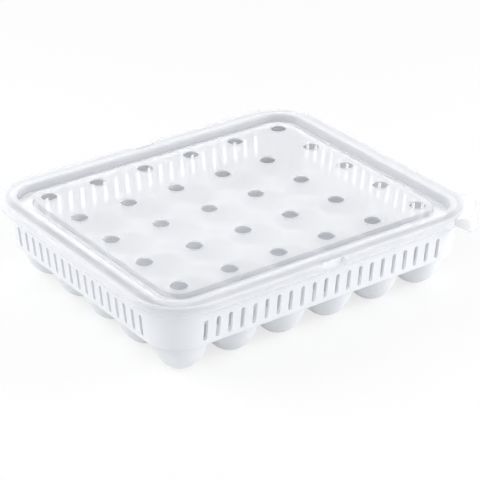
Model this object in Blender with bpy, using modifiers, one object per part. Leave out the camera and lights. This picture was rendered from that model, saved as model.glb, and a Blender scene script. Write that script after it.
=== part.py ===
"""An egg keeper: a slotted basket on thirty egg cups, under a vented lid that lifts off.

Metres, +Z up. The table is at z = 0 and the origin is under the middle of the whole box,
pull tab included. +X runs along the six cups of a long side and the pull tab stands at
the +X, -Y corner. The basket is one moulding, shown here as its wall, its floor and its
cups. The lid is the other moulding.
"""
from math import acos, atan2, cos, hypot, pi, radians, sin, sqrt

import bmesh
import bpy
from mathutils import Matrix, Vector

# The egg cups. The gap is the least one between two cups of a row.
COLUMNS = 6
ROWS = 5
CUP_RADIUS = 0.02435
CUP_GAP = 0.0013
CUP_DEPTH = 0.0307
CUP_FOOT_RADIUS = 0.0050
CUP_SKIN = 0.0016
CUP_STEPS = 16
CUP_ARC_STEPS = 3

# The floor plate and the posts that stand between four cups
FLOOR_THICKNESS = 0.0018
POST_HEIGHT = 0.0054
POST_REACH = 0.0112
POST_SIDE_STEPS = 3
POST_TOP_SHARE = 0.87

# The slotted wall. Its clearances are from the outer cups to the foot of the wall, and how
# much larger the radius of its corners is than a cup's.
WALL_CLEARANCE_X = 0.00775
WALL_CLEARANCE_Y = 0.00635
WALL_CORNER_CLEARANCE = 0.00715
WALL_THICKNESS = 0.0018
WALL_HEIGHT = 0.0416
WALL_SLOPE_SHARE = 0.11
FOOT_ROUND = 0.0024
FOOT_LIP = 0.0010
LONG_SIDE_SLOTS = 21
SHORT_SIDE_SLOTS = 17
SLOT_WIDTH = 0.0038
SLOT_HEIGHT = 0.0192
SLOT_RISE = 0.0050
SLOT_END_GAP = 0.0042
SLOT_END_STEPS = 3

# The snap lug in the middle of each long side
LUG_WIDTH = 0.0198
LUG_THICKNESS = 0.0022
LUG_HEIGHT = 0.0068
LUG_RISE = 0.0016
LUG_SETBACK = 0.0024

# The lid. The overhangs run from the top of the wall to the outside of the lid's skirt.
LID_THICKNESS = 0.0014
LID_OVERHANG_X = 0.0088
LID_OVERHANG_Y = 0.0099
LID_CORNER_STEP = 0.0173
SKIRT_HEIGHT = 0.0068
SKIRT_LEAN = 0.0002
BEAD_ROUND = 0.0010
BEAD_WIDTH = 0.0026
BEAD_CROWN = 0.0001
BEAD_FALL_SHARE = 0.8
VALLEY_DEPTH = 0.0008
VALLEY_WIDTH = 0.0014
SLOPE_RISE = 0.00155
SLOPE_WIDTH = 0.0065
LEDGE_WIDTH = 0.0067
RIDGE_LEAN = 0.0014
GROOVE_DEPTH = 0.00775
GROOVE_WIDTH_X = 0.0076
GROOVE_WIDTH_Y = 0.0099
PANEL_RISE = 0.0050
PANEL_LEAN = 0.0006
VENT_DIAMETER = 0.0145
VENT_STEPS = 10

# The pull tab, measured along the diagonal of its corner and across it
TAB_REACH = 0.0173
TAB_FLARE = 0.0031
TAB_HALF_WIDTH = 0.0266
TAB_DROP = 0.0128
TAB_SINK = 0.0002

# Fits, cuts and facets
SEAT_GAP = 0.0004
SEAM_GAP = 0.0003
LUG_SIDE_GAP = 0.0006
FLANGE_GAP = 0.0010
CUT_OVERRUN = 0.0100
TAB_ROOT_OVERLAP = 0.0026
CORNER_STEPS = 6
MERGE_DISTANCE = 0.000001

# Corner radii of the lid's rings as shares of the skirt's, from the panel to the skirt
LID_CORNER_SHARES = (0.34, 0.351, 0.415, 0.443, 0.623, 0.830, 0.868, 0.981, 0.996, 1.0)

# The tab's edge from its end at the skirt to its tip. Each row gives the edge's place
# along and across the tab, the same for the hem below it, and how far the hem drops.
TAB_EDGE_SHARES = (
    (0.000, 1.000, 0.000, 1.000, 0.41),
    (0.231, 0.985, 0.196, 0.992, 0.55),
    (0.434, 0.951, 0.363, 0.970, 0.66),
    (0.665, 0.872, 0.529, 0.929, 0.83),
    (0.838, 0.733, 0.711, 0.846, 1.05),
    (0.954, 0.508, 0.882, 0.658, 1.11),
    (0.994, 0.263, 0.980, 0.338, 1.06),
    (1.000, 0.000, 1.000, 0.000, 1.00),
)

# Sizes that follow from the ones above
CUP_PITCH = 2 * CUP_RADIUS + CUP_GAP
GRID_HALF_X = (COLUMNS - 1) * CUP_PITCH / 2
GRID_HALF_Y = (ROWS - 1) * CUP_PITCH / 2
FLOOR_Z = CUP_DEPTH + SEAM_GAP
FOOT_X = GRID_HALF_X + CUP_RADIUS + WALL_CLEARANCE_X
FOOT_Y = GRID_HALF_Y + CUP_RADIUS + WALL_CLEARANCE_Y
WALL_CORNER = CUP_RADIUS + WALL_CORNER_CLEARANCE
FLANGE_Z = FLOOR_Z + WALL_HEIGHT
WALL_OUTSET = WALL_SLOPE_SHARE * (WALL_HEIGHT - WALL_THICKNESS - FOOT_ROUND)
SKIRT_X = FOOT_X + WALL_OUTSET + LID_OVERHANG_X
SKIRT_Y = FOOT_Y + WALL_OUTSET + LID_OVERHANG_Y
SKIRT_CORNER = WALL_CORNER + WALL_OUTSET + LID_CORNER_STEP
VALLEY_Z = FLANGE_Z + SEAT_GAP + LID_THICKNESS
BEAD_Z = VALLEY_Z + VALLEY_DEPTH
LEDGE_Z = VALLEY_Z + SLOPE_RISE
GROOVE_Z = LEDGE_Z - GROOVE_DEPTH
PANEL_Z = GROOVE_Z + PANEL_RISE
LUG_FRONT = SKIRT_Y - LID_THICKNESS - FLANGE_GAP - LUG_SETBACK
LUG_BACK = LUG_FRONT - LUG_THICKNESS
NOTCH_HALF_WIDTH = LUG_WIDTH / 2 + LUG_SIDE_GAP


def rounded_rectangle(half_x, half_y, radius, z):
    """Return the points of a rounded rectangle, anticlockwise seen from above."""
    points = []
    for corner in range(4):
        middle_x = half_x - radius if corner in (0, 3) else radius - half_x
        middle_y = half_y - radius if corner in (0, 1) else radius - half_y
        for step in range(CORNER_STEPS + 1):
            angle = (corner + step / CORNER_STEPS) * pi / 2
            points.append(Vector((middle_x + radius * cos(angle),
                                  middle_y + radius * sin(angle), z)))
    return points


def circle(centre_x, centre_y, radius, steps):
    """Return the points of a circle in the plane."""
    turns = [2 * pi * step / steps for step in range(steps)]
    return [(centre_x + radius * cos(turn), centre_y + radius * sin(turn)) for turn in turns]


def rectangle(low_x, high_x, low_y, high_y):
    """Return the corners of a rectangle in the plane."""
    return [(low_x, low_y), (high_x, low_y), (high_x, high_y), (low_x, high_y)]


def grid_places(columns, rows):
    """Return the column, row and place of each point of a grid about the middle."""
    places = []
    for row in range(rows):
        for column in range(columns):
            places.append((column, row, (column - (columns - 1) / 2) * CUP_PITCH,
                           (row - (rows - 1) / 2) * CUP_PITCH))
    return places


def new_collection(name):
    """Add a collection to the scene."""
    collection = bpy.data.collections.new(name)
    bpy.context.scene.collection.children.link(collection)
    return collection


def new_material(name, colour, roughness, alpha):
    """Return a plastic with its colour, its roughness and how opaque it is."""
    material = bpy.data.materials.new(name)
    material.use_nodes = True
    shader = material.node_tree.nodes["Principled BSDF"]
    shader.inputs["Base Color"].default_value = (*colour, 1.0)
    shader.inputs["Roughness"].default_value = roughness
    shader.inputs["Metallic"].default_value = 0.0
    shader.inputs["Alpha"].default_value = alpha
    return material


def add_object(name, data, collection, parent):
    """Put data in the scene under a name and a parent."""
    obj = bpy.data.objects.new(name, data)
    collection.objects.link(obj)
    obj.parent = parent
    return obj


def mesh_from(bm, name):
    """Turn a bmesh into mesh data."""
    mesh = bpy.data.meshes.new(name)
    bm.to_mesh(mesh)
    bm.free()
    return mesh


def loft_mesh(name, rings, closed, cap):
    """Skin rows of points, each row further out or further down than the last."""
    bm = bmesh.new()
    rows = [[bm.verts.new(point) for point in ring] for ring in rings]
    count = len(rows[0])
    for upper, lower in zip(rows, rows[1:]):
        for index in range(count if closed else count - 1):
            after = (index + 1) % count
            bm.faces.new((upper[index], lower[index], lower[after], upper[after]))
    if cap:
        bm.faces.new(rows[0])
    return mesh_from(bm, name)


def prism(name, outlines, depth, frame, collection, parent):
    """Extrude flat outlines to half a depth on each side of the plane of a frame."""
    curve = bpy.data.curves.new(name, "CURVE")
    curve.dimensions = "2D"
    curve.fill_mode = "BOTH"
    curve.extrude = depth / 2
    for outline in outlines:
        spline = curve.splines.new("POLY")
        spline.points.add(len(outline) - 1)
        for point, place in zip(spline.points, outline):
            point.co = (place[0], place[1], 0, 1)
        spline.use_cyclic_u = True
    flat = add_object(name + "_outline", curve, collection, None)
    graph = bpy.context.evaluated_depsgraph_get()
    mesh = bpy.data.meshes.new_from_object(flat.evaluated_get(graph))
    bpy.data.objects.remove(flat)
    bm = bmesh.new()
    bm.from_mesh(mesh)
    bmesh.ops.remove_doubles(bm, verts=bm.verts, dist=MERGE_DISTANCE)
    bmesh.ops.recalc_face_normals(bm, faces=bm.faces)
    bm.to_mesh(mesh)
    bm.free()
    mesh.transform(frame)
    return add_object(name, mesh, collection, parent)


def boolean(target, tool, operation):
    """Cut a tool from a target or join it on."""
    tool.hide_render = True
    tool.display_type = "WIRE"
    modifier = target.modifiers.new(tool.name, "BOOLEAN")
    modifier.operation = operation
    modifier.solver = "EXACT"
    modifier.object = tool


def solidify(obj, thickness):
    """Give an open surface its thickness on its inner side."""
    modifier = obj.modifiers.new("Thickness", "SOLIDIFY")
    modifier.thickness = thickness
    modifier.offset = -1.0
    modifier.use_even_offset = True


def shade(obj, degrees):
    """Shade an object smooth between its sharp edges."""
    obj.data.shade_smooth()
    obj.data.set_sharp_from_angle(angle=radians(degrees))


def cup_arc(radius, depth, last_turn):
    """Return points down a quarter ellipse, from the mouth of a cup to its foot."""
    turns = [last_turn * step / CUP_ARC_STEPS for step in range(CUP_ARC_STEPS + 1)]
    return [(radius * cos(turn), CUP_DEPTH - depth * sin(turn)) for turn in turns]


def cup_profile():
    """Return the half section of a cup, up its inside and then down its outside."""
    last_turn = acos(CUP_FOOT_RADIUS / CUP_RADIUS)
    depth = CUP_DEPTH / sin(last_turn)
    outer = cup_arc(CUP_RADIUS, depth, last_turn)
    inner = cup_arc(CUP_RADIUS - CUP_SKIN, depth - CUP_SKIN, last_turn)
    return [(0, inner[-1][1])] + inner[::-1] + outer + [(0, 0)]


def cup_mesh():
    """Return the half section of a cup as a line of edges."""
    bm = bmesh.new()
    points = [bm.verts.new((x, 0, z)) for x, z in cup_profile()]
    for first, second in zip(points, points[1:]):
        bm.edges.new((first, second))
    return mesh_from(bm, "egg_cup")


def model_cups(collection, parent, material):
    """Turn a cup about the upright axis at each place of the grid."""
    mesh = cup_mesh()
    mesh.materials.append(material)
    for column, row, x, y in grid_places(COLUMNS, ROWS):
        name = f"egg_cup_row{row + 1}_column{column + 1}"
        cup = add_object(name, mesh, collection, parent)
        cup.location = (x, y, 0)
        screw = cup.modifiers.new("Turn", "SCREW")
        screw.axis = "Z"
        screw.steps = CUP_STEPS
        screw.render_steps = CUP_STEPS
        screw.use_merge_vertices = True
        screw.merge_threshold = MERGE_DISTANCE


def post_outline(centre_x, centre_y):
    """Return a diamond whose four hollow sides run about the cups next to it."""
    half = CUP_PITCH / 2
    radius = hypot(half, half - POST_REACH)
    start = pi + atan2(half, half - POST_REACH)
    sweep = 1.5 * pi - (start - pi)
    points = []
    for quarter in range(4):
        turn = quarter * pi / 2
        for step in range(POST_SIDE_STEPS):
            angle = start + (sweep - start) * step / POST_SIDE_STEPS
            x = half + radius * cos(angle)
            y = half + radius * sin(angle)
            points.append((centre_x + x * cos(turn) - y * sin(turn),
                           centre_y + x * sin(turn) + y * cos(turn)))
    return points


def model_posts(collection, parent):
    """Model the tapered posts that stand where four cups meet."""
    places = [place[2:] for place in grid_places(COLUMNS - 1, ROWS - 1)]
    height = POST_HEIGHT + FLOOR_THICKNESS / 2
    middle = FLOOR_Z + FLOOR_THICKNESS / 2 + height / 2
    outlines = [post_outline(x, y) for x, y in places]
    frame = Matrix.Translation((0, 0, middle))
    posts = prism("posts", outlines, height, frame, collection, parent)
    for vertex in posts.data.vertices:
        if vertex.co.z > middle:
            near = min(places, key=lambda place: hypot(place[0] - vertex.co.x,
                                                       place[1] - vertex.co.y))
            vertex.co.x = near[0] + (vertex.co.x - near[0]) * POST_TOP_SHARE
            vertex.co.y = near[1] + (vertex.co.y - near[1]) * POST_TOP_SHARE
    return posts


def model_floor(collection, cutters, parent, material):
    """Model the floor plate with a mouth over each cup and a post between four."""
    inset = FOOT_ROUND + FOOT_LIP + SEAM_GAP
    edge = rounded_rectangle(FOOT_X - inset, FOOT_Y - inset, WALL_CORNER - inset, 0)
    outlines = [[(point.x, point.y) for point in edge]]
    for _, _, x, y in grid_places(COLUMNS, ROWS):
        outlines.append(circle(x, y, CUP_RADIUS - CUP_SKIN, CUP_STEPS))
    frame = Matrix.Translation((0, 0, FLOOR_Z + FLOOR_THICKNESS / 2))
    floor = prism("cup_tray_floor", outlines, FLOOR_THICKNESS, frame, collection, parent)
    floor.data.materials.append(material)
    boolean(floor, model_posts(cutters, parent), "UNION")


def wall_ring(outset, z):
    """Return a ring of the wall at an outset from its foot."""
    return rounded_rectangle(FOOT_X + outset, FOOT_Y + outset, WALL_CORNER + outset, z)


def slot_outline(place):
    """Return an upright slot with round ends."""
    radius = SLOT_WIDTH / 2
    low = FLOOR_Z + SLOT_RISE + radius
    high = FLOOR_Z + SLOT_RISE + SLOT_HEIGHT - radius
    points = []
    for middle, start in ((high, 0), (low, pi)):
        for step in range(SLOT_END_STEPS + 1):
            angle = start + pi * step / SLOT_END_STEPS
            points.append((place + radius * cos(angle), middle + radius * sin(angle)))
    return points


def cut_slots(wall, cutters, parent):
    """Cut the slots of the long sides and of the short sides through the wall."""
    along_y = Matrix(((1, 0, 0, 0), (0, 0, -1, 0), (0, 1, 0, 0), (0, 0, 0, 1)))
    along_x = Matrix(((0, 0, 1, 0), (1, 0, 0, 0), (0, 1, 0, 0), (0, 0, 0, 1)))
    reach = WALL_OUTSET + CUT_OVERRUN
    sides = (("long_side_slots", FOOT_X, LONG_SIDE_SLOTS, FOOT_Y + reach, along_y),
             ("short_side_slots", FOOT_Y, SHORT_SIDE_SLOTS, FOOT_X + reach, along_x))
    for name, half_length, count, half_depth, frame in sides:
        span = 2 * (half_length - WALL_CORNER - SLOT_END_GAP)
        places = [span * (index / (count - 1) - 0.5) for index in range(count)]
        outlines = [slot_outline(place) for place in places]
        slots = prism(name, outlines, 2 * half_depth, frame, cutters, parent)
        boolean(wall, slots, "DIFFERENCE")


def both_sides(half_width, low_y, high_y):
    """Return a rectangle and its mirror image across the long middle line."""
    return [rectangle(-half_width, half_width, low_y, high_y),
            rectangle(-half_width, half_width, -high_y, -low_y)]


def add_lugs(wall, cutters, parent):
    """Join a lug to the flange at each long side and trim the flange flush with it."""
    frame = Matrix.Translation((0, 0, FLANGE_Z + LUG_RISE - LUG_HEIGHT / 2))
    lugs = both_sides(LUG_WIDTH / 2, LUG_BACK, LUG_FRONT + SEAM_GAP)
    boolean(wall, prism("lugs", lugs, LUG_HEIGHT, frame, cutters, parent), "UNION")
    trims = both_sides(NOTCH_HALF_WIDTH, LUG_FRONT, LUG_FRONT + CUT_OVERRUN)
    depth = LUG_HEIGHT + CUT_OVERRUN
    boolean(wall, prism("lug_trims", trims, depth, frame, cutters, parent), "DIFFERENCE")


def model_wall(collection, cutters, parent, material):
    """Model the slotted wall with its round foot, its flange and its two lugs."""
    edge = LID_THICKNESS + FLANGE_GAP
    top = FLANGE_Z - WALL_THICKNESS
    bend = FOOT_ROUND * (1 - cos(pi / 4))
    rings = [rounded_rectangle(SKIRT_X - edge, SKIRT_Y - edge, SKIRT_CORNER - edge, top),
             wall_ring(WALL_OUTSET, top),
             wall_ring(0, FLOOR_Z + FOOT_ROUND),
             wall_ring(-bend, FLOOR_Z + bend),
             wall_ring(-FOOT_ROUND, FLOOR_Z),
             wall_ring(-FOOT_ROUND - FOOT_LIP, FLOOR_Z)]
    mesh = loft_mesh("basket_wall", rings, True, False)
    mesh.materials.append(material)
    wall = add_object("basket_wall", mesh, collection, parent)
    shade(wall, 40)
    solidify(wall, WALL_THICKNESS)
    cut_slots(wall, cutters, parent)
    add_lugs(wall, cutters, parent)


def lid_rings():
    """Return the rings of the lid's upper side, from the panel out to the skirt's foot."""
    bead = SKIRT_LEAN + BEAD_ROUND
    valley = bead + BEAD_WIDTH + VALLEY_WIDTH
    ridge = valley + SLOPE_WIDTH + LEDGE_WIDTH
    groove = ridge + RIDGE_LEAN
    panel_foot = groove + GROOVE_WIDTH_X, groove + GROOVE_WIDTH_Y
    insets = ((panel_foot[0] + PANEL_LEAN, panel_foot[1] + PANEL_LEAN, PANEL_Z),
              (*panel_foot, GROOVE_Z),
              (groove, groove, GROOVE_Z),
              (ridge, ridge, LEDGE_Z),
              (valley + SLOPE_WIDTH, valley + SLOPE_WIDTH, LEDGE_Z),
              (valley, valley, VALLEY_Z),
              (bead + BEAD_WIDTH, bead + BEAD_WIDTH, BEAD_Z - BEAD_CROWN),
              (bead, bead, BEAD_Z),
              (SKIRT_LEAN, SKIRT_LEAN, BEAD_Z - BEAD_ROUND * BEAD_FALL_SHARE),
              (0, 0, BEAD_Z - SKIRT_HEIGHT))
    return [rounded_rectangle(SKIRT_X - x, SKIRT_Y - y, SKIRT_CORNER * share, z)
            for (x, y, z), share in zip(insets, LID_CORNER_SHARES)]


def tab_points():
    """Return the tab's edge and its hem from one end at the skirt to the other."""
    root_radius = SKIRT_CORNER - LID_THICKNESS / 2
    root = sqrt(root_radius ** 2 - TAB_HALF_WIDTH ** 2)
    edge = []
    for along, across, hem_along, hem_across, drop in TAB_EDGE_SHARES:
        edge.append(((root + along * TAB_REACH, across * TAB_HALF_WIDTH),
                     (root + hem_along * (TAB_REACH + TAB_FLARE), hem_across * TAB_HALF_WIDTH),
                     drop * TAB_DROP))
    mirrored = [((one[0], -one[1]), (two[0], -two[1]), drop) for one, two, drop in edge]
    return mirrored + edge[-2::-1]


def tab_place(along, across, z):
    """Return a point of the tab in the frame of the cup grid."""
    diagonal = sqrt(2)
    return Vector((SKIRT_X - SKIRT_CORNER + (along + across) / diagonal,
                   SKIRT_CORNER - SKIRT_Y + (across - along) / diagonal, z))


def model_tab(collection, parent):
    """Model the pull tab: a flat brim off the rim's corner with a hem that hangs down."""
    points = tab_points()
    flat_z = BEAD_Z - TAB_SINK
    root_radius = SKIRT_CORNER - TAB_ROOT_OVERLAP
    rows = [[], [], []]
    for index, (edge, hem, drop) in enumerate(points):
        at_end = index in (0, len(points) - 1)
        sunk = flat_z - LID_THICKNESS / 2
        turn = atan2(edge[1], edge[0])
        rows[0].append(tab_place(root_radius * cos(turn), root_radius * sin(turn), sunk))
        rows[1].append(tab_place(*edge, sunk if at_end else flat_z))
        rows[2].append(tab_place(*hem, flat_z - drop))
    tab = add_object("pull_tab", loft_mesh("pull_tab", rows, False, False), collection, parent)
    solidify(tab, LID_THICKNESS)
    return tab


def model_lid(collection, cutters, parent, material):
    """Model the lid: panel, groove and rim in one skin, vents, lug notches and pull tab."""
    mesh = loft_mesh("lid", lid_rings(), True, True)
    mesh.materials.append(material)
    lid = add_object("lid", mesh, collection, parent)
    shade(lid, 40)
    solidify(lid, LID_THICKNESS)
    boolean(lid, model_tab(cutters, parent), "UNION")
    vents = [circle(x, y, VENT_DIAMETER / 2, VENT_STEPS)
             for _, _, x, y in grid_places(COLUMNS, ROWS)]
    frame = Matrix.Translation((0, 0, PANEL_Z))
    depth = 2 * (LID_THICKNESS + PANEL_RISE)
    boolean(lid, prism("vents", vents, depth, frame, cutters, parent), "DIFFERENCE")
    notches = both_sides(NOTCH_HALF_WIDTH, LUG_BACK - SEAM_GAP, SKIRT_Y + CUT_OVERRUN)
    depth = 2 * (SKIRT_HEIGHT + CUT_OVERRUN)
    frame = Matrix.Translation((0, 0, BEAD_Z))
    boolean(lid, prism("notches", notches, depth, frame, cutters, parent), "DIFFERENCE")


def box_middle():
    """Return how far the tab moves the middle of the box along +X and along -Y."""
    reach = max(tab_place(*place, 0).x for edge, hem, _ in tab_points() for place in (edge, hem))
    return (reach - SKIRT_X) / 2


def main():
    """Model the whole egg keeper about the middle of its box."""
    for obj in list(bpy.data.objects):
        bpy.data.objects.remove(obj)
    parts = new_collection("egg_keeper")
    cutters = new_collection("cutters")
    grid = add_object("cup_grid_middle", None, parts, None)
    grid.location = (-box_middle(), box_middle(), 0)
    white = new_material("white_polypropylene", (0.86, 0.87, 0.88), 0.35, 1.0)
    clear = new_material("clear_polypropylene", (0.90, 0.92, 0.95), 0.18, 0.35)
    model_cups(parts, grid, white)
    model_floor(parts, cutters, grid, white)
    model_wall(parts, cutters, grid, white)
    model_lid(parts, cutters, grid, clear)


main()
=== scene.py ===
"""Looks of an egg keeper: a white slotted basket on thirty egg cups and its clear vented lid.

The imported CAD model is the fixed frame. Every visible piece here stands for CAD nodes and
lies where they lie: the cups, the floor that joins them, the slotted wall and the lid.
"""
import logging
from collections.abc import Sequence
from dataclasses import dataclass
from enum import Enum
from math import acos, atan2, cos, hypot, pi, radians, sin, sqrt

import bmesh
import bpy
from mathutils import Matrix, Vector


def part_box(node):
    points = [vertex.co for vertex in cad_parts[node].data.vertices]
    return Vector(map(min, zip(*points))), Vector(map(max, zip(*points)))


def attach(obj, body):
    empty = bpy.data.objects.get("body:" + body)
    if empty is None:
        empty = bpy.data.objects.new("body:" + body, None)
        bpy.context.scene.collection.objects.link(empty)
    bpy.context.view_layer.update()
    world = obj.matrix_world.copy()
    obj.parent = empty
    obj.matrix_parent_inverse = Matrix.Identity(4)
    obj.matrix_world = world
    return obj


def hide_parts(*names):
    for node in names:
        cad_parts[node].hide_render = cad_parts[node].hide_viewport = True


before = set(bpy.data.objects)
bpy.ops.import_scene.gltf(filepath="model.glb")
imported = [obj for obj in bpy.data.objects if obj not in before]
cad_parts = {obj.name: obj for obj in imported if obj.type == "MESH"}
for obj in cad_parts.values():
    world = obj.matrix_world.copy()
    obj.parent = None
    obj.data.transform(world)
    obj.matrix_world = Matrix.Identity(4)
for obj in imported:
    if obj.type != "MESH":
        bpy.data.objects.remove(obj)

LOG = logging.getLogger("egg_keeper")
MM = 0.001
# Decimals of a metre to which places are compared, and the gap under which they are one.
DECIMALS = 7
DOUBLES = 0.001 * MM
# A rounding takes up at most this share of the edges beside its corner.
MOST_OF_AN_EDGE = 0.48
# The share of a rounding's full size that keeps it from meeting the next one.
JUST_UNDER = 0.99
# The inner side of a moulded wall has no sharper corner than this.
LEAST_ROUNDING = 0.3 * MM
# Sockets of a colour Mix node, where names repeat.
MIX_FACTOR, MIX_RESULT, MIX_LIGHT, MIX_SHADE = 0, 2, 6, 7
Point = tuple[float, float, float]
# The measures of a station on a section, and how far its corner is rounded.
Station = tuple[Sequence[float], float]


class Body(Enum):
    """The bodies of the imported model."""

    BASKET = "basket"
    LID = "lid"


class Slot(Enum):
    """The record's material slots."""

    BASKET = "basket_white"
    LID = "lid_clear"


class LidFinish(Enum):
    """The finishes of the clear lid, by their place in its list of materials."""

    SHEET = 0
    CLOUDY = 1
    THICK = 2


class Join(Enum):
    """What a Boolean does to the piece that it works on."""

    CUT = "DIFFERENCE"
    WELD = "UNION"


class Ends(Enum):
    """How a chain of extruded rings ends."""

    CAPPED = "a face on the first and last ring"
    JOINED = "the last ring merged with the first"


# Shaping


def linear(colour: str) -> tuple[float, float, float, float]:
    """Turn an sRGB hex colour into linear values, by the sRGB standard.

    Args:
        colour: Six hex digits after a hash sign.

    Returns:
        Red, green and blue in linear light, and full alpha.
    """
    values = []
    for start in (1, 3, 5):
        value = int(colour[start:start + 2], 16) / 255
        values.append(value / 12.92 if value <= 0.04045 else ((value + 0.055) / 1.055) ** 2.4)
    return values[0], values[1], values[2], 1.0


def deselect() -> None:
    """Leave edit mode and deselect every object."""
    if bpy.context.object and bpy.context.object.mode != "OBJECT":
        bpy.ops.object.mode_set(mode="OBJECT")
    bpy.ops.object.select_all(action="DESELECT")


def take(piece: bpy.types.Object) -> None:
    """Make a piece the only selected and the active object.

    Args:
        piece: The piece.
    """
    deselect()
    piece.select_set(True)
    bpy.context.view_layer.objects.active = piece


def circle(radius: float, z: float, steps: int) -> list[Vector]:
    """Lay out a circle about the Z axis.

    Args:
        radius: Its radius.
        z: Its height.
        steps: Its number of points.

    Returns:
        Its points, anticlockwise from above.
    """
    turns = [2 * pi * step / steps for step in range(steps)]
    return [Vector((radius * cos(turn), radius * sin(turn), z)) for turn in turns]


def rounded_rectangle(half_x: float, half_y: float, radius: float, z: float,
                      steps: int) -> list[Vector]:
    """Lay out a rounded rectangle about the middle of the cup grid.

    Args:
        half_x: Half the length.
        half_y: Half the width.
        radius: Radius of the corners.
        z: Height above the table.
        steps: Segments of a corner.

    Returns:
        Its points, anticlockwise from above.
    """
    points = []
    for corner in range(4):
        middle_x = half_x - radius if corner in (0, 3) else radius - half_x
        middle_y = half_y - radius if corner in (0, 1) else radius - half_y
        for step in range(steps + 1):
            angle = (corner + step / steps) * pi / 2
            points.append(Vector((middle_x + radius * cos(angle),
                                  middle_y + radius * sin(angle), z)))
    return points


def apart(here: Vector, there: Vector) -> float:
    """Return how far two stations are apart, by half length and height if they have four."""
    gap = there - here
    return hypot(gap[0], gap[3]) if len(gap) == 4 else gap.length


def softened(stations: Sequence[Station], steps: int) -> list[Vector]:
    """Round the corners of a chain of stations.

    Args:
        stations: The measures of each station and how far its corner is rounded.
        steps: Segments of a rounded corner.

    Returns:
        The measures of the finer chain.
    """
    chain = [Vector(stations[0][0])]
    for index in range(1, len(stations) - 1):
        here, reach = Vector(stations[index][0]), stations[index][1]
        before, after = Vector(stations[index - 1][0]), Vector(stations[index + 1][0])
        if reach <= 0:
            chain.append(here)
            continue
        start = here + (before - here) * min(MOST_OF_AN_EDGE, reach / apart(here, before))
        end = here + (after - here) * min(MOST_OF_AN_EDGE, reach / apart(here, after))
        for step in range(steps + 1):
            share = step / steps
            chain.append(start * (1 - share) ** 2 + here * 2 * share * (1 - share)
                         + end * share ** 2)
    chain.append(Vector(stations[-1][0]))
    return chain


def inner_side(stations: Sequence[Station], wall: float) -> list[Station]:
    """Lay out the inner side of a moulded wall from its outer side.

    Args:
        stations: The outer side, with the plastic on the left of its way.
        wall: Thickness of the wall.

    Returns:
        The inner side, station by station, its corners rounded about the same centres.
    """
    ways = []
    for (here, _), (there, _) in zip(stations, stations[1:]):
        way = Vector((there[0] - here[0], there[3] - here[3])).normalized()
        ways.append(Vector((-way.y, way.x)))
    inner = []
    for index, (here, reach) in enumerate(stations):
        before, after = ways[max(index - 1, 0)], ways[min(index, len(ways) - 1)]
        shift = (before + after) * (wall / (1 + before.dot(after)))
        half_turn = (before.x * after.y - before.y * after.x) / (1 + before.dot(after))
        inner.append(((here[0] + shift.x, here[1] + shift.x, here[2] + shift.x,
                       here[3] + shift.y), max(reach - wall * half_turn, LEAST_ROUNDING)))
    return inner


def place_key(place: Vector) -> tuple[float, ...]:
    """Return a place in rounded numbers, by which to find its vertex."""
    return tuple(round(value, DECIMALS) for value in place)


def grow(name: str, rings: Sequence[Sequence[Vector]], ends: Ends) -> bpy.types.Object:
    """Extrude a ring of edges from station to station.

    Args:
        name: Name of the piece.
        rings: Rings of equal counts.
        ends: How the chain of rings ends.

    Returns:
        The piece, closed, its faces pointing outwards.
    """
    deselect()
    bpy.ops.mesh.primitive_circle_add(vertices=len(rings[0]), radius=1.0, fill_type="NOTHING")
    piece = bpy.context.object
    piece.name = name
    bpy.ops.object.mode_set(mode="EDIT")
    bpy.ops.mesh.select_all(action="SELECT")
    bm = bmesh.from_edit_mesh(piece.data)
    for vertex, point in zip(list(bm.verts), rings[0]):
        vertex.co = point
    order = {place_key(point): index for index, point in enumerate(rings[0])}
    for ring in [*rings[1:], rings[0]] if ends is Ends.JOINED else rings[1:]:
        bpy.ops.mesh.extrude_region_move()
        bm = bmesh.from_edit_mesh(piece.data)
        for vertex in bm.verts:
            if vertex.select:
                vertex.co = ring[order[place_key(vertex.co)]]
        order = {place_key(point): index for index, point in enumerate(ring)}
    if ends is Ends.JOINED:
        bpy.ops.mesh.select_all(action="SELECT")
        bpy.ops.mesh.remove_doubles(threshold=DOUBLES)
    else:
        bpy.ops.mesh.edge_face_add()
        bpy.ops.mesh.select_all(action="DESELECT")
        bpy.ops.mesh.select_non_manifold()
        bpy.ops.mesh.edge_face_add()
    bpy.ops.mesh.select_all(action="SELECT")
    bpy.ops.mesh.normals_make_consistent(inside=False)
    bpy.ops.object.mode_set(mode="OBJECT")
    return piece


def apply_modifier(piece: bpy.types.Object, kind: str, **settings: object) -> None:
    """Add a modifier with its settings and apply it.

    Args:
        piece: The piece to change.
        kind: The modifier's type.
        settings: Values by name.
    """
    take(piece)
    modifier = piece.modifiers.new(kind.title(), kind)
    for key, value in settings.items():
        setattr(modifier, key, value)
    bpy.ops.object.modifier_apply(modifier=modifier.name)


def combine(piece: bpy.types.Object, tool: bpy.types.Object, join: Join) -> None:
    """Cut a tool from a piece or weld it on, and remove the tool."""
    apply_modifier(piece, "BOOLEAN", operation=join.value, solver="EXACT", object=tool)
    bpy.data.objects.remove(tool)


def copies(first: bpy.types.Object, places: Sequence[Vector]) -> list[bpy.types.Object]:
    """Copy a piece to each place, with a mesh for each copy, and drop the first.

    Args:
        first: The piece, modelled about the origin.
        places: Where the copies go.

    Returns:
        The copies.
    """
    made = []
    for place in places:
        copy = first.copy()
        copy.data = first.data.copy()
        copy.data.transform(Matrix.Translation(place))
        bpy.context.scene.collection.objects.link(copy)
        made.append(copy)
    bpy.data.objects.remove(first)
    return made


def joined(pieces: Sequence[bpy.types.Object]) -> bpy.types.Object:
    """Join pieces into the first of them.

    Args:
        pieces: The pieces.

    Returns:
        The first piece, which holds them all.
    """
    deselect()
    for piece in pieces:
        piece.select_set(True)
    bpy.context.view_layer.objects.active = pieces[0]
    bpy.ops.object.join()
    return pieces[0]


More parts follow.
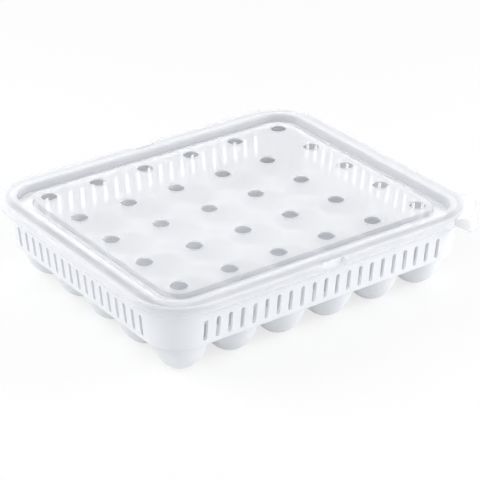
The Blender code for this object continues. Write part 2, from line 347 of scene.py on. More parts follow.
def rod_cutter(radius: float, z: float, depth: float, steps: int) -> bpy.types.Object:
    """Model an upright round cutter about the Z axis.

    Args:
        radius: Its radius.
        z: Height of its middle.
        depth: Its length.
        steps: Its number of sides.

    Returns:
        The cutter.
    """
    rings = [circle(radius, z + side * depth / 2, steps) for side in (-1, 1)]
    return grow("round_cutter", rings, Ends.CAPPED)


def side_cutters(half_width: float, reach: tuple[float, float],
                 heights: tuple[float, float]) -> bpy.types.Object:
    """Model two box cutters, one in the middle of each long side.

    Args:
        half_width: Half their length along the side.
        reach: Where they start and end, from the middle of the basket.
        heights: Their underside and top.

    Returns:
        Both cutters in one.
    """
    near, far = reach
    outline = ((-half_width, near), (half_width, near), (half_width, far), (-half_width, far))
    cutters = []
    for side in (-1, 1):
        rings = [[Vector((x, side * y, z)) for x, y in outline] for z in heights]
        cutters.append(grow("side_cutter", rings, Ends.CAPPED))
    return joined(cutters)


def finish_shape(piece: bpy.types.Object, degrees: float) -> None:
    """Shade a piece smooth between its sharp edges.

    Args:
        piece: The finished piece.
        degrees: The angle above which an edge stays sharp.
    """
    take(piece)
    bpy.ops.object.shade_smooth_by_angle(angle=radians(degrees))
    deselect()


# Finishes


def add_node(tree: bpy.types.NodeTree, kind: str, settings: dict[str, object],
             links: dict[str, bpy.types.NodeSocket]) -> bpy.types.Node:
    """Add a shader node.

    Args:
        tree: The material's tree.
        kind: The node's type.
        settings: Properties by attribute and socket values by socket name.
        links: Sockets that feed this node's inputs, by input name.

    Returns:
        The node.
    """
    node = tree.nodes.new(kind)
    for key, value in settings.items():
        if key in node.inputs:
            node.inputs[key].default_value = value
        else:
            setattr(node, key, value)
    for key, socket in links.items():
        tree.links.new(socket, node.inputs[key])
    return node


def new_tree(name: str) -> tuple[bpy.types.Material, bpy.types.NodeTree]:
    """Start a node material with nothing in it but its output.

    Args:
        name: Name of the material.

    Returns:
        The material and its tree.
    """
    material = bpy.data.materials.new(name)
    material.use_nodes = True
    for node in list(material.node_tree.nodes):
        if node.type != "OUTPUT_MATERIAL":
            material.node_tree.nodes.remove(node)
    return material, material.node_tree


def clouded(tree: bpy.types.NodeTree, place: bpy.types.NodeSocket, cloud_mm: float,
            detail: float, colours: tuple[str, str]) -> bpy.types.NodeSocket:
    """Mix two close colours by slow clouds, as in a melt that cooled unevenly.

    Args:
        tree: The material's tree.
        place: The place on the piece.
        cloud_mm: Size of a cloud in millimetres.
        detail: How many finer clouds lie over them.
        colours: The light and the dull colour.

    Returns:
        The colour.
    """
    clouds = add_node(tree, "ShaderNodeTexNoise",
                      {"Scale": 1 / (cloud_mm * MM), "Detail": detail}, {"Vector": place})
    mix = add_node(tree, "ShaderNodeMix", {"data_type": "RGBA", "clamp_factor": True}, {})
    for socket, colour in zip((MIX_LIGHT, MIX_SHADE), colours):
        mix.inputs[socket].default_value = linear(colour)
    tree.links.new(clouds.outputs["Fac"], mix.inputs[MIX_FACTOR])
    return mix.outputs[MIX_RESULT]


def seen_directly(tree: bpy.types.NodeTree) -> bpy.types.NodeSocket:
    """Tell the rays that see the plain background from those that light the object.

    Args:
        tree: The paper's or the world's tree.

    Returns:
        1 for camera, glossy and transmission rays, 0 for the rest.
    """
    path = add_node(tree, "ShaderNodeLightPath", {}, {})
    seen = path.outputs["Is Camera Ray"]
    for kind in ("Is Glossy Ray", "Is Transmission Ray"):
        either = add_node(tree, "ShaderNodeMath", {"operation": "MAXIMUM"}, {})
        tree.links.new(seen, either.inputs[0])
        tree.links.new(path.outputs[kind], either.inputs[1])
        seen = either.outputs[0]
    return seen


@dataclass(frozen=True)
class WhitePolypropylene:
    """Opaque white polypropylene, injection-moulded in a fine spark-eroded tool.

    It reads as a clean cool white with a broad soft sheen, very faint flow clouds where
    the melt cooled unevenly, and a grain too fine to see as more than a soft highlight.
    """

    name: str = "moulded_white_polypropylene"
    light: str = "#F3F4F6"
    shade: str = "#EEF0F3"
    cloud_mm: float = 38.0
    grain_mm: float = 0.9
    least_roughness: float = 0.33
    most_roughness: float = 0.42
    index: float = 1.49

    def material(self) -> bpy.types.Material:
        """Build the node material.

        Returns:
            The material.
        """
        material, tree = new_tree(self.name)
        place = add_node(tree, "ShaderNodeTexCoord", {}, {}).outputs["Object"]
        colour = clouded(tree, place, self.cloud_mm, 3.0, (self.light, self.shade))
        # The real grain is about 0.05 mm. It is drawn coarser so that it shows at all.
        grain = add_node(tree, "ShaderNodeTexNoise",
                         {"Scale": 1 / (self.grain_mm * MM), "Detail": 2.0}, {"Vector": place})
        rough = add_node(tree, "ShaderNodeMapRange",
                         {"From Min": 0.3, "From Max": 0.7, "To Min": self.least_roughness,
                          "To Max": self.most_roughness}, {"Value": grain.outputs["Fac"]})
        bump = add_node(tree, "ShaderNodeBump", {"Strength": 0.06, "Distance": 0.05 * MM},
                        {"Height": grain.outputs["Fac"]})
        shader = add_node(tree, "ShaderNodeBsdfPrincipled",
                          {"IOR": self.index, "Metallic": 0.0},
                          {"Base Color": colour, "Roughness": rough.outputs["Result"],
                           "Normal": bump.outputs["Normal"]})
        tree.links.new(shader.outputs["BSDF"], tree.nodes["Material Output"].inputs["Surface"])
        return material


@dataclass(frozen=True)
class ClearPolypropylene:
    """Clear polypropylene, injection-moulded against a polished tool.

    It is a thin hazy sheet: a cool veil over what lies below, glossy, with a slow ripple in
    its reflections and a faint cloudiness, and it looks denser where it is seen edge on.
    """

    name: str = "moulded_clear_polypropylene"
    light: str = "#F5F6F9"
    shade: str = "#EEF0F5"
    veil: float = 0.19
    edge_veil: float = 0.65
    cloud_mm: float = 55.0
    ripple_mm: float = 22.0
    scatter: float = 0.6
    scatter_mm: float = 4.0
    roughness: float = 0.16
    skin_gloss: float = 0.8
    skin_roughness: float = 0.08
    index: float = 1.49

    def material(self) -> bpy.types.Material:
        """Build the node material.

        Returns:
            The material.
        """
        material, tree = new_tree(self.name)
        place = add_node(tree, "ShaderNodeTexCoord", {}, {}).outputs["Object"]
        colour = clouded(tree, place, self.cloud_mm, 2.0, (self.light, self.shade))
        ripple = add_node(tree, "ShaderNodeTexNoise",
                          {"Scale": 1 / (self.ripple_mm * MM), "Detail": 1.0}, {"Vector": place})
        bump = add_node(tree, "ShaderNodeBump", {"Strength": 0.12, "Distance": 0.3 * MM},
                        {"Height": ripple.outputs["Fac"]})
        facing = add_node(tree, "ShaderNodeLayerWeight", {"Blend": 0.35}, {})
        veil = add_node(tree, "ShaderNodeMapRange",
                        {"From Min": 0.15, "From Max": 1.0, "To Min": self.veil,
                         "To Max": self.edge_veil}, {"Value": facing.outputs["Facing"]})
        shader = add_node(tree, "ShaderNodeBsdfPrincipled",
                          {"IOR": self.index, "Metallic": 0.0, "Roughness": self.roughness,
                           "Coat Weight": self.skin_gloss,
                           "Coat Roughness": self.skin_roughness, "Coat IOR": self.index,
                           "Subsurface Weight": self.scatter,
                           "Subsurface Radius": (1.0, 1.0, 1.0),
                           "Subsurface Scale": self.scatter_mm * MM},
                          {"Base Color": colour, "Normal": bump.outputs["Normal"],
                           "Alpha": veil.outputs["Result"]})
        tree.links.new(shader.outputs["BSDF"], tree.nodes["Material Output"].inputs["Surface"])
        return material


@dataclass(frozen=True)
class StudioPaper:
    """Matt backdrop paper: white to the camera with its soft shadow, duller to the object."""

    name: str = "matt_backdrop_paper"
    seen: str = "#FCFCFD"
    bounced: str = "#F4F5F6"
    glow_share: float = 0.74

    def material(self) -> bpy.types.Material:
        """Build the node material.

        Returns:
            The material.
        """
        material, tree = new_tree(self.name)
        bounced = add_node(tree, "ShaderNodeBsdfDiffuse", {"Color": linear(self.bounced)}, {})
        seen = add_node(tree, "ShaderNodeBsdfDiffuse", {"Color": linear(self.seen)}, {})
        glow = add_node(tree, "ShaderNodeEmission",
                        {"Color": (1.0, 1.0, 1.0, 1.0), "Strength": 1.0}, {})
        lit = add_node(tree, "ShaderNodeMixShader", {"Fac": self.glow_share}, {})
        tree.links.new(seen.outputs[0], lit.inputs[1])
        tree.links.new(glow.outputs[0], lit.inputs[2])
        mix = add_node(tree, "ShaderNodeMixShader", {}, {"Fac": seen_directly(tree)})
        tree.links.new(bounced.outputs[0], mix.inputs[1])
        tree.links.new(lit.outputs[0], mix.inputs[2])
        tree.links.new(mix.outputs[0], tree.nodes["Material Output"].inputs["Surface"])
        return material


# The keeper's parts


@dataclass
class CupGrid:
    """The grid of cups that everything is laid out on."""

    columns: int = 6
    rows: int = 5
    pitch: float = 50 * MM

    def middle(self) -> Vector:
        """Return the middle of the grid, which is the middle of the wall."""
        low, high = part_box("basket_wall")
        return Vector(((low.x + high.x) / 2, (low.y + high.y) / 2, 0))

    def places(self, fewer: int = 0) -> list[tuple[int, int, Vector]]:
        """List the grid's points about its middle.

        Args:
            fewer: How many rows and columns are left out, 1 for the points between cups.

        Returns:
            Column, row and place of each point.
        """
        columns, rows = self.columns - fewer, self.rows - fewer
        return [(column, row, Vector(((column - (columns - 1) / 2) * self.pitch,
                                      (row - (rows - 1) / 2) * self.pitch, 0)))
                for row in range(rows) for column in range(columns)]


@dataclass
class EggCups:
    """The thirty egg cups that hang below the floor and carry the keeper."""

    grid: CupGrid
    radius: float = 24.35 * MM
    depth: float = 30.7 * MM
    foot_radius: float = 5.0 * MM
    skin: float = 1.6 * MM
    floor_top: float = 32.8 * MM
    lip: float = 1.2 * MM
    edge_drop: float = 0.02 * MM
    arc_steps: int = 18
    lip_steps: int = 6
    steps: int = 64
    smooth_degrees: float = 50.0

    def profile(self) -> list[tuple[float, float]]:
        """Lay out the cup's section from the foot up the outside and down the inside.

        Returns:
            Radius and height of each point.
        """
        last = acos(self.foot_radius / self.radius)
        outer_depth = self.depth / sin(last)
        turns = [last * (1 - step / self.arc_steps) for step in range(self.arc_steps + 1)]
        outer = [(self.radius * cos(turn), self.depth - outer_depth * sin(turn))
                 for turn in turns]
        inner_radius, inner_depth = self.radius - self.skin, outer_depth - self.skin
        inner = [(inner_radius * cos(turn), self.depth - inner_depth * sin(turn))
                 for turn in reversed(turns)]
        rim = []
        for step in range(self.lip_steps + 1):
            turn = pi / 2 * step / self.lip_steps
            rim.append((inner_radius + self.lip * (1 - sin(turn)),
                        self.floor_top - self.lip * (1 - cos(turn))))
        return outer + [(self.radius, self.floor_top - self.edge_drop)] + rim + inner

    def build(self, material: bpy.types.Material) -> list[bpy.types.Object]:
        """Model one cup, turned about its axis, and set a copy at each place.

        Args:
            material: The cups' finish.

        Returns:
            The cups.
        """
        rings = [circle(radius, z, self.steps) for radius, z in self.profile()]
        first = grow("egg_cup", rings, Ends.CAPPED)
        finish_shape(first, self.smooth_degrees)
        first.data.materials.append(material)
        middle, places = self.grid.middle(), self.grid.places()
        cups = copies(first, [place + middle for _, _, place in places])
        for cup, (column, row, _) in zip(cups, places):
            node = f"egg_cup_row{row + 1}_column{column + 1}"
            cup.name = f"moulded_{node}"
            dress(cup, Body.BASKET, [node])
        return cups


@dataclass
class CupFloor:
    """The floor plate with a mouth over each cup and a post where four cups meet."""

    grid: CupGrid
    half_x: float = 154.15 * MM
    half_y: float = 127.75 * MM
    corner: float = 28.55 * MM
    corner_steps: int = 24
    underside: float = 31.0 * MM
    top: float = 32.8 * MM
    mouth_radius: float = 24.0 * MM
    mouth_steps: int = 64
    cutter_depth: float = 12 * MM
    post_reach: float = 11.2 * MM
    post_top_share: float = 0.87
    post_top: float = 38.2 * MM
    post_round: float = 1.1 * MM
    post_steps: int = 5
    side_points: int = 12
    side_start: float = 0.035
    side_share: float = 0.93
    smooth_degrees: float = 35.0

    def plate(self) -> bpy.types.Object:
        """Model the plate with its mouths.

        Returns:
            The plate, about the middle of the grid.
        """
        edge = [rounded_rectangle(self.half_x, self.half_y, self.corner, z, self.corner_steps)
                for z in (self.underside, self.top)]
        plate = grow("cup_floor", edge, Ends.CAPPED)
        cutter = rod_cutter(self.mouth_radius, (self.underside + self.top) / 2,
                            self.cutter_depth, self.mouth_steps)
        cutters = copies(cutter, [place for _, _, place in self.grid.places()])
        combine(plate, joined(cutters), Join.CUT)
        return plate

    def post_outline(self, reach: float, z: float) -> list[Vector]:
        """Lay out a diamond with hollow sides and blunt points.

        Args:
            reach: How far its points reach from its middle.
            z: Its height.

        Returns:
            Its points about the middle of the post.
        """
        # Each side is an arc about a cup. It stops short of the points, which blunts them.
        half = self.grid.pitch / 2
        radius = hypot(half, half - self.post_reach)
        start = pi + atan2(half, half - self.post_reach)
        end = 2.5 * pi - start
        points = []
        for quarter in range(4):
            turn = Matrix.Rotation(quarter * pi / 2, 3, "Z")
            for step in range(self.side_points):
                share = self.side_start + self.side_share * step / (self.side_points - 1)
                angle = start + (end - start) * share
                place = Vector((half + radius * cos(angle), half + radius * sin(angle), 0))
                points.append(turn @ (place * (reach / self.post_reach)) + Vector((0, 0, z)))
        return points

    def posts(self) -> bpy.types.Object:
        """Model one tapered post with a soft top and copy it to each place.

        Returns:
            All posts in one.
        """
        reach, top = self.post_reach, self.post_top_share * self.post_reach
        # From inside the plate up to the middle of the post's top.
        stations = softened([((reach * 1.05, self.underside + 0.5 * MM), 0),
                             ((reach * 1.04, self.top - 0.1 * MM), 0),
                             ((reach, self.top + 0.5 * MM), 0.4 * MM),
                             ((top, self.post_top), self.post_round),
                             ((top * 0.5, self.post_top), 0)], self.post_steps)
        rings = [self.post_outline(reach, z) for reach, z in stations]
        post = grow("post", rings, Ends.CAPPED)
        return joined(copies(post, [place for _, _, place in self.grid.places(1)]))

    def build(self, material: bpy.types.Material) -> bpy.types.Object:
        """Model the floor and lay it between the walls.

        Args:
            material: The floor's finish.

        Returns:
            The floor.
        """
        floor = self.plate()
        combine(floor, self.posts(), Join.WELD)
        floor.data.transform(Matrix.Translation(self.grid.middle()))
        floor.name = "moulded_cup_floor"
        finish_shape(floor, self.smooth_degrees)
        floor.data.materials.append(material)
        dress(floor, Body.BASKET, ["cup_tray_floor"])
        return floor


@dataclass
class SlottedWall:
    """The basket's slotted wall, with its round foot, its flange and its snap lugs."""

    grid: CupGrid
    foot_x: float = 157.1 * MM
    foot_y: float = 130.7 * MM
    corner: float = 31.5 * MM
    outset: float = 4.114 * MM
    thickness: float = 2.35 * MM
    foot_z: float = 31.0 * MM
    foot_round: float = 2.4 * MM
    flange_z: float = 72.6 * MM
    flange_x: float = 167.6 * MM
    flange_y: float = 142.4 * MM
    flange_corner: float = 50.5 * MM
    flange_round: float = 1.2 * MM
    flange_edge_under: float = 0.4 * MM
    flange_edge_top: float = 0.6 * MM
    section_steps: int = 7
    steps: int = 24
    long_slots: int = 21
    short_slots: int = 17
    long_slot_width: float = 3.9 * MM
    short_slot_width: float = 4.0 * MM
    slot_height: float = 19.6 * MM
    slot_rise: float = 4.6 * MM
    slot_end_gap: float = 4.2 * MM
    slot_steps: int = 7
    slot_cutter_overrun: float = 10 * MM
    lug_width: float = 19.8 * MM
    lug_back: float = 137.8 * MM
    lug_front: float = 140.0 * MM
    lug_top: float = 74.2 * MM
    lug_height: float = 6.8 * MM
    lug_round: float = 0.55 * MM
    lug_steps: int = 4
    trim_margin: float = 0.6 * MM
    trim_reach: float = 10 * MM
    trim_below: float = 12 * MM
    trim_above: float = 5 * MM
    smooth_degrees: float = 30.0

    def skin(self) -> bpy.types.Object:
        """Model the wall in one section that goes round the basket.

        Returns:
            The wall without slots and lugs, about the middle of the grid.
        """
        out, under = self.outset, self.flange_z - self.thickness
        outer = [
            ((self.foot_x - self.foot_round, self.foot_y - self.foot_round,
              self.corner - self.foot_round, self.foot_z), 0),
            ((self.foot_x, self.foot_y, self.corner, self.foot_z),
             self.foot_round * JUST_UNDER),
            ((self.foot_x + out, self.foot_y + out, self.corner + out, under),
             self.flange_round),
            ((self.flange_x, self.flange_y, self.flange_corner, under),
             self.flange_edge_under)]
        inner = inner_side(outer, self.thickness)
        inner[-1] = inner[-1][0], self.flange_edge_top
        section = softened(outer + inner[::-1], self.section_steps)
        rings = [rounded_rectangle(*measures, self.steps) for measures in section]
        return grow("slotted_wall", rings, Ends.JOINED)

    def slot_cutter(self, along: float, width: float, across: bool) -> bpy.types.Object:
        """Model a cutter with round ends that goes through two opposite walls.

        Args:
            along: Its length through the basket.
            width: Its width.
            across: Whether it runs along Y and so cuts the long sides.

        Returns:
            The cutter, at its height and in the middle of the basket.
        """
        deselect()
        middle = self.foot_z + self.slot_rise + self.slot_height / 2
        bpy.ops.mesh.primitive_cube_add(size=1.0, location=(0, 0, middle))
        cutter = bpy.context.object
        cutter.name = "slot_cutter"
        wide = (width, along) if across else (along, width)
        cutter.scale = (*wide, self.slot_height)
        bpy.ops.object.transform_apply(location=True, rotation=True, scale=True)
        bpy.ops.object.mode_set(mode="EDIT")
        bpy.ops.mesh.select_mode(type="EDGE")
        bpy.ops.mesh.select_all(action="DESELECT")
        bm = bmesh.from_edit_mesh(cutter.data)
        for edge in bm.edges:
            span = edge.verts[0].co - edge.verts[1].co
            edge.select = abs(span[int(across)]) > along / 2
        bmesh.update_edit_mesh(cutter.data)
        bpy.ops.mesh.bevel(offset=width / 2 * JUST_UNDER, segments=self.slot_steps,
                           affect="EDGES")
        bpy.ops.object.mode_set(mode="OBJECT")
        return cutter

    def cut_slots(self, wall: bpy.types.Object) -> None:
        """Cut the slots through all four sides.

        Args:
            wall: The wall, about the middle of the grid.
        """
        sides = ((self.foot_x, self.long_slots, self.long_slot_width, self.flange_y, True),
                 (self.foot_y, self.short_slots, self.short_slot_width, self.flange_x, False))
        for half_length, count, width, reach, across in sides:
            span = 2 * (half_length - self.corner - self.slot_end_gap)
            shifts = [span * (index / (count - 1) - 0.5) for index in range(count)]
            places = [Vector((shift, 0, 0)) if across else Vector((0, shift, 0))
                      for shift in shifts]
            along = 2 * (reach + self.slot_cutter_overrun)
            cutter = self.slot_cutter(along, width, across)
            combine(wall, joined(copies(cutter, places)), Join.CUT)

    def lugs(self) -> bpy.types.Object:
        """Model a lug with rounded edges and copy it to both long sides.

        Returns:
            Both lugs in one.
        """
        deselect()
        bpy.ops.mesh.primitive_cube_add(size=1.0, location=(0, 0, 0))
        lug = bpy.context.object
        lug.name = "snap_lug"
        lug.scale = (self.lug_width, self.lug_front - self.lug_back, self.lug_height)
        bpy.ops.object.transform_apply(scale=True)
        bpy.ops.object.mode_set(mode="EDIT")
        bpy.ops.mesh.select_all(action="SELECT")
        bpy.ops.mesh.bevel(offset=self.lug_round, segments=self.lug_steps, affect="EDGES")
        bpy.ops.object.mode_set(mode="OBJECT")
        out = (self.lug_back + self.lug_front) / 2
        up = self.lug_top - self.lug_height / 2
        return joined(copies(lug, [Vector((0, out, up)), Vector((0, -out, up))]))

    def build(self, material: bpy.types.Material) -> bpy.types.Object:
        """Model the wall and stand it around the floor.

        Args:
            material: The wall's finish.

        Returns:
            The wall.
        """
        wall = self.skin()
        self.cut_slots(wall)
        # The flange is trimmed flush with the lugs' fronts.
        trims = side_cutters(self.lug_width / 2 + self.trim_margin,
                             (self.lug_front, self.lug_front + self.trim_reach),
                             (self.lug_top - self.trim_below, self.lug_top + self.trim_above))
        combine(wall, trims, Join.CUT)
        combine(wall, self.lugs(), Join.WELD)
        wall.data.transform(Matrix.Translation(self.grid.middle()))
        wall.name = "moulded_slotted_wall"
        finish_shape(wall, self.smooth_degrees)
        wall.data.materials.append(material)
        dress(wall, Body.BASKET, ["basket_wall"])
        return wall


@dataclass
class VentedLid:
    """The lid: panel, groove, ridge, bead and skirt in one skin, with vents and a pull tab.

    The rows of `tab_edge` run from the skirt to the tip: along and across for the tab's edge
    and for its hem, and the hem's drop, as shares of the tab's measures.
    """

    grid: CupGrid
    thickness: float = 1.4 * MM
    skirt_x: float = 170.014 * MM
    skirt_y: float = 144.714 * MM
    skirt_corner: float = 52.9 * MM
    skirt_foot: float = 68.4 * MM
    foot_round: float = 0.4 * MM
    bead_z: float = 75.2 * MM
    valley_z: float = 74.4 * MM
    ledge_z: float = 75.95 * MM
    groove_z: float = 68.2 * MM
    panel_z: float = 73.2 * MM
    section_steps: int = 6
    steps: int = 28
    vent_radius: float = 7.25 * MM
    vent_steps: int = 48
    vent_cutter_depth: float = 6 * MM
    notch_half: float = 10.5 * MM
    notch_back: float = 137.5 * MM
    notch_overrun: float = 10 * MM
    tab_reach: float = 17.3 * MM
    tab_flare: float = 3.1 * MM
    tab_half_width: float = 26.6 * MM
    tab_drop: float = 12.8 * MM
    tab_round: float = 2.2 * MM
    tab_sunk: float = 0.15 * MM
    tab_overlap: float = 2.6 * MM
    tab_blend: float = 12.0
    tab_slope_step: float = 0.01
    tab_steps: int = 64
    tab_round_steps: int = 8
    tab_edge: tuple[tuple[float, float, float, float, float], ...] = (
        (0.000, 1.000, 0.000, 1.000, 0.41),
        (0.231, 0.985, 0.196, 0.992, 0.55),
        (0.434, 0.951, 0.363, 0.970, 0.66),
        (0.665, 0.872, 0.529, 0.929, 0.83),
        (0.838, 0.733, 0.711, 0.846, 1.05),
        (0.954, 0.508, 0.882, 0.658, 1.11),
        (0.994, 0.263, 0.980, 0.338, 1.06),
        (1.000, 0.000, 1.000, 0.000, 1.00))
    vent_margin: float = 0.2 * MM
    groove_margin: float = 1.0 * MM
    tab_margin: float = 0.6 * MM
    upright: float = 0.5
    level: float = 0.6
    smooth_degrees: float = 30.0

    def stations(self) -> list[Station]:
        """Lay out the upper side from the skirt's foot in to the panel.

        Returns:
            Half length, half width, corner radius and height, and how far a corner is rounded.
        """
        # Inset from the skirt along X and Y in mm, corner radius as a share of the skirt's,
        # height, and rounding in mm.
        rows = (
            (0.0, 0.0, 1.0, self.skirt_foot, 0.0),
            (0.2, 0.2, 1.0, self.bead_z, 1.5),
            (3.6, 3.6, 0.875, self.bead_z - 0.05 * MM, 0.7),
            (5.2, 5.2, 0.830, self.valley_z, 0.8),
            (11.7, 11.7, 0.623, self.ledge_z, 2.4),
            (18.4, 18.4, 0.443, self.ledge_z, 1.6),
            (19.8, 19.8, 0.415, self.groove_z, 0.7),
            (29.2, 29.7, 0.351, self.groove_z, 0.9),
            (29.6, 30.3, 0.34, self.panel_z, 0.9),
            (34.0, 34.7, 0.27, self.panel_z, 0.0))
        return [((self.skirt_x - inset_x * MM, self.skirt_y - inset_y * MM,
                  self.skirt_corner * share, z), rounding * MM)
                for inset_x, inset_y, share, z, rounding in rows]

    def shell(self) -> bpy.types.Object:
        """Model the lid in one section, from the panel out to the rim and back.

        Returns:
            The lid without tab, vents and notches, about the middle of the grid.
        """
        upper = self.stations()
        lower = inner_side(upper, self.thickness)
        upper[0], lower[0] = (upper[0][0], self.foot_round), (lower[0][0], self.foot_round)
        section = softened(upper[::-1] + lower, self.section_steps)
        rings = [rounded_rectangle(*measures, self.steps) for measures in section]
        return grow("vented_lid", rings, Ends.CAPPED)

    def tab_row(self, share: float) -> tuple[Vector, Vector, float]:
        """Read the tab's edge between its rows along a smooth curve.

        Args:
            share: From 0 at the skirt to 1 at the tip.

        Returns:
            The edge's place along and across, the hem's place, and the hem's drop.
        """
        root_radius = self.skirt_corner - self.thickness / 2
        root = sqrt(root_radius ** 2 - self.tab_half_width ** 2)
        table = [Vector((along * self.tab_reach, across * self.tab_half_width,
                         low_along * (self.tab_reach + self.tab_flare),
                         low_across * self.tab_half_width, drop * self.tab_drop))
                 for along, across, low_along, low_across, drop in self.tab_edge]
        last = table[-2].copy()
        last[1], last[3] = -last[1], -last[3]
        rows = [table[0] * 2 - table[1]] + table + [last]
        position = share * (len(table) - 1)
        index = min(int(position), len(table) - 2)
        part = position - index
        # A cubic through the rows beside the place, with the slopes of their neighbours.
        a, b, c, d = rows[index:index + 4]
        row = (b * 2 + (c - a) * part + (a * 2 - b * 5 + c * 4 - d) * part ** 2
               + (b * 3 - a - c * 3 + d) * part ** 3) / 2
        return Vector((root + row[0], row[1])), Vector((root + row[2], row[3])), row[4]

    def tab_place(self, along: float, across: float, z: float) -> Vector:
        """Turn a place along and across the tab into one about the cup grid.

        Args:
            along: How far out from the centre of the skirt's corner.
            across: How far to the side of the corner's diagonal.
            z: Its height.

        Returns:
            The place about the middle of the grid.
        """
        side = sqrt(0.5)
        return Vector((self.skirt_x - self.skirt_corner + (along + across) * side,
                       self.skirt_corner - self.skirt_y + (across - along) * side, z))

    def tab(self) -> bpy.types.Object:
        """Model the pull tab: a flat brim with a hem that hangs down from its edge.

        Returns:
            The tab, which starts in the lid's rim.
        """
        flat_z, wall, rings = self.bead_z - self.tab_sunk, self.thickness, []
        for step in range(self.tab_steps + 1):
            side = 1 - 2 * step / self.tab_steps
            share = 1 - abs(side)
            edge, hem, drop = self.tab_row(share)
            near, _, _ = self.tab_row(max(0.0, share - self.tab_slope_step))
            far, _, _ = self.tab_row(min(1.0, share + self.tab_slope_step))
            inward = Vector((near.y - far.y, far.x - near.x)).normalized() * wall
            inward = Vector((-abs(inward.x), -abs(inward.y)))
            turn = atan2(edge.y, edge.x)
            start = Vector((cos(turn), sin(turn))) * (self.skirt_corner - self.tab_overlap)
            # Beside the skirt the brim's edge lies half a wall lower.
            sunk = wall / 2 * (1 - min(1.0, share * self.tab_blend))
            top = [((*start, flat_z - wall / 2), 0), ((*edge, flat_z - sunk), self.tab_round),
                   ((*hem, flat_z - drop), 0)]
            below = [((*start, flat_z - wall * 1.5), 0),
                     ((*(edge + inward), flat_z - sunk - wall), self.tab_round / 3),
                     ((*(hem + inward), flat_z - drop), 0)]
            ring = (softened(top, self.tab_round_steps)
                    + softened(below, self.tab_round_steps)[::-1])
            sign = 1 if side >= 0 else -1
            rings.append([self.tab_place(place[0], sign * place[1], place[2])
                          for place in ring])
        return grow("pull_tab", rings, Ends.CAPPED)

    def mark_finishes(self, lid: bpy.types.Object) -> None:
        """Give the vents' walls and the groove's floor a denser veil, which paints the groove's
        floor as a bright line of light, and give the pull tab a greyer tint of painted shade.

        Args:
            lid: The lid, about the middle of the grid.
        """
        places = [place for _, _, place in self.grid.places()]
        corner = self.tab_place(0, 0, 0)
        for face in lid.data.polygons:
            middle, upward = face.center, face.normal.z
            in_vent = middle.z > self.groove_z and abs(upward) < self.upright and any(
                hypot(middle.x - place.x, middle.y - place.y)
                < self.vent_radius + self.vent_margin for place in places)
            in_groove = (upward > self.level
                         and middle.z < self.groove_z + self.groove_margin)
            out_x, out_y = middle.x - corner.x, corner.y - middle.y
            # A denser veil on the vents' walls and on the groove's floor; on the floor it shows
            # the white as a painted bright line of light.
            finish = LidFinish.CLOUDY if in_vent or in_groove else LidFinish.SHEET
            # The tab gets a greyer, denser copy of the sheet: painted shade.
            if (min(out_x, out_y) > 0
                    and hypot(out_x, out_y) > self.skirt_corner + self.tab_margin):
                finish = LidFinish.THICK
            face.material_index = finish.value

    def build(self, finishes: dict[LidFinish, bpy.types.Material]) -> bpy.types.Object:
        """Model the lid and seat it on the basket.

        Args:
            finishes: The sheet's finish, the denser one that paints light on the groove's floor,
                and the tab's greyer one of painted shade.

        Returns:
            The lid.
        """
        lid = self.shell()
        combine(lid, self.tab(), Join.WELD)
        cutter = rod_cutter(self.vent_radius, self.panel_z - self.thickness / 2,
                            self.vent_cutter_depth, self.vent_steps)
        vents = joined(copies(cutter, [place for _, _, place in self.grid.places()]))
        combine(lid, vents, Join.CUT)
        notches = side_cutters(self.notch_half,
                               (self.notch_back, self.skirt_y + self.notch_overrun),
                               (self.skirt_foot - self.notch_overrun,
                                self.ledge_z + self.notch_overrun))
        combine(lid, notches, Join.CUT)
        for finish in LidFinish:
            lid.data.materials.append(finishes[finish])
        self.mark_finishes(lid)
        lid.data.transform(Matrix.Translation(self.grid.middle()))
        lid.name = "moulded_vented_lid"
        finish_shape(lid, self.smooth_degrees)
        dress(lid, Body.LID, ["lid"])
        return lid


def dress(piece: bpy.types.Object, body: Body, nodes: Sequence[str]) -> None:
    """Tie a finished piece to its body and the CAD nodes that it stands for.

    Args:
        piece: The finished piece.
        body: The body that it moves with.
        nodes: The CAD nodes that it replaces.
    """
    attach(piece, body.value)
    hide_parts(*nodes)
    LOG.info("%s stands for %s", piece.name, ", ".join(nodes))


# The studio


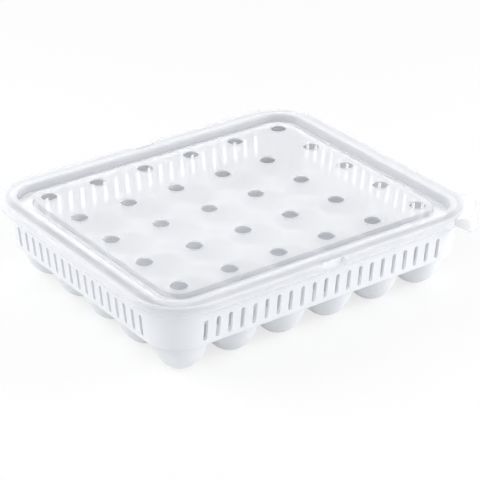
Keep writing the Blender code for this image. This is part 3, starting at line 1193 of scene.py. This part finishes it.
@dataclass
class Studio:
    """White paper, soft boxes at the sides, in front and behind, and the camera.

    A row of `lamps` gives a name, a place about the keeper, width, height and watts.
    """

    grid: CupGrid
    lens_mm: float = 150.42
    sensor_mm: float = 36.0
    camera_place: Point = (-0.91572, -1.26925, 0.84093)
    view: Point = (0.523193, 0.718766, -0.457869)
    roll: float = 0.003
    paper_size: float = 12.0
    aim_height: float = 0.04
    room: str = "#F6F7FA"
    room_strength: float = 0.42
    lamps: tuple[tuple[str, Point, float, float, float], ...] = (
        ("low_left_soft_box", (-1.214, 0.882, 0.42), 1.1, 0.8, 4.4),
        ("high_left_soft_box", (-0.930, 0.676, 1.05), 1.1, 0.8, 9.4),
        ("low_right_soft_box", (1.214, -0.882, 0.30), 1.3, 0.6, 11.2),
        ("high_right_soft_box", (1.052, -0.764, 0.85), 1.1, 0.8, 5.2),
        ("front_soft_box", (-0.764, -1.052, 1.30), 1.2, 1.0, 5.8),
        ("back_soft_box", (1.13, 1.55, 0.95), 1.8, 0.6, 5.9))

    def lamp(self, name: str, place: Vector, size: tuple[float, float], power: float,
             target: Vector) -> None:
        """Hang a soft box.

        Args:
            name: Its name.
            place: Where it hangs.
            size: Its width and height.
            power: Its power in watts.
            target: What it faces.
        """
        light = bpy.data.lights.new(name, "AREA")
        light.shape = "RECTANGLE"
        light.size, light.size_y = size
        light.energy = power
        lamp = bpy.data.objects.new(name, light)
        lamp.location = place
        lamp.rotation_euler = (target - place).to_track_quat("-Z", "Y").to_euler()
        bpy.context.scene.collection.objects.link(lamp)

    def camera(self) -> None:
        """Set the camera where the photograph was taken from."""
        data = bpy.data.cameras.new("camera")
        data.lens = self.lens_mm
        data.sensor_width = self.sensor_mm
        camera = bpy.data.objects.new("camera", data)
        turn = Vector(self.view).to_track_quat("-Z", "Y").to_matrix().to_4x4()
        place = Vector(self.camera_place) + self.grid.middle()
        camera.matrix_world = (Matrix.Translation(place) @ turn
                               @ Matrix.Rotation(self.roll, 4, "Z"))
        bpy.context.scene.collection.objects.link(camera)
        bpy.context.scene.camera = camera

    def paper(self, material: bpy.types.Material) -> None:
        """Roll out the backdrop paper as a wide flat floor.

        Args:
            material: The paper's finish.
        """
        deselect()
        bpy.ops.mesh.primitive_plane_add(size=self.paper_size, location=(0, 0, 0))
        floor = bpy.context.object
        floor.name = "backdrop_paper"
        floor.data.materials.append(material)

    def world(self) -> None:
        """Light the room evenly and show plain white behind everything."""
        world = bpy.data.worlds.new("studio")
        bpy.context.scene.world = world
        world.use_nodes = True
        tree = world.node_tree
        tree.nodes.clear()
        room = add_node(tree, "ShaderNodeBackground",
                        {"Color": linear(self.room), "Strength": self.room_strength}, {})
        white = add_node(tree, "ShaderNodeBackground",
                         {"Color": (1.0, 1.0, 1.0, 1.0), "Strength": 1.0}, {})
        mix = add_node(tree, "ShaderNodeMixShader", {}, {"Fac": seen_directly(tree)})
        tree.links.new(room.outputs[0], mix.inputs[1])
        tree.links.new(white.outputs[0], mix.inputs[2])
        out = add_node(tree, "ShaderNodeOutputWorld", {}, {})
        tree.links.new(mix.outputs[0], out.inputs["Surface"])

    def build(self) -> None:
        """Set up the whole studio."""
        middle = self.grid.middle() + Vector((0, 0, self.aim_height))
        for name, place, width, height, power in self.lamps:
            self.lamp(name, middle + Vector(place), (width, height), power, middle)
        self.world()
        self.paper(StudioPaper().material())
        self.camera()
        bpy.context.scene.view_settings.view_transform = "Standard"


def main() -> None:
    """Build the keeper in order."""
    logging.basicConfig(level=logging.INFO)
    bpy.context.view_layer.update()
    grid = CupGrid()
    white = WhitePolypropylene().material()
    # The lid is one plastic. Its veil is denser at the vents' walls and on the groove's floor,
    # where the white shows as a painted bright line of light, and the tab is tinted greyer as
    # painted shade.
    clear = {
        LidFinish.SHEET: ClearPolypropylene(),
        # A denser veil: on the groove's floor it paints a bright line of light.
        LidFinish.CLOUDY: ClearPolypropylene(name="dense_clear_polypropylene_painted_light", veil=0.8,
                                             edge_veil=0.9),
        # A greyer, denser copy of the sheet for the tab: painted shade.
        LidFinish.THICK: ClearPolypropylene(name="tab_clear_polypropylene_painted_shade", light="#EBECEF",
                                            shade="#E5E7EA", veil=0.36, edge_veil=0.85)}
    EggCups(grid).build(white)
    CupFloor(grid).build(white)
    SlottedWall(grid).build(white)
    VentedLid(grid).build({finish: look.material() for finish, look in clear.items()})
    Studio(grid).build()


if __name__ == "__main__":
    main()
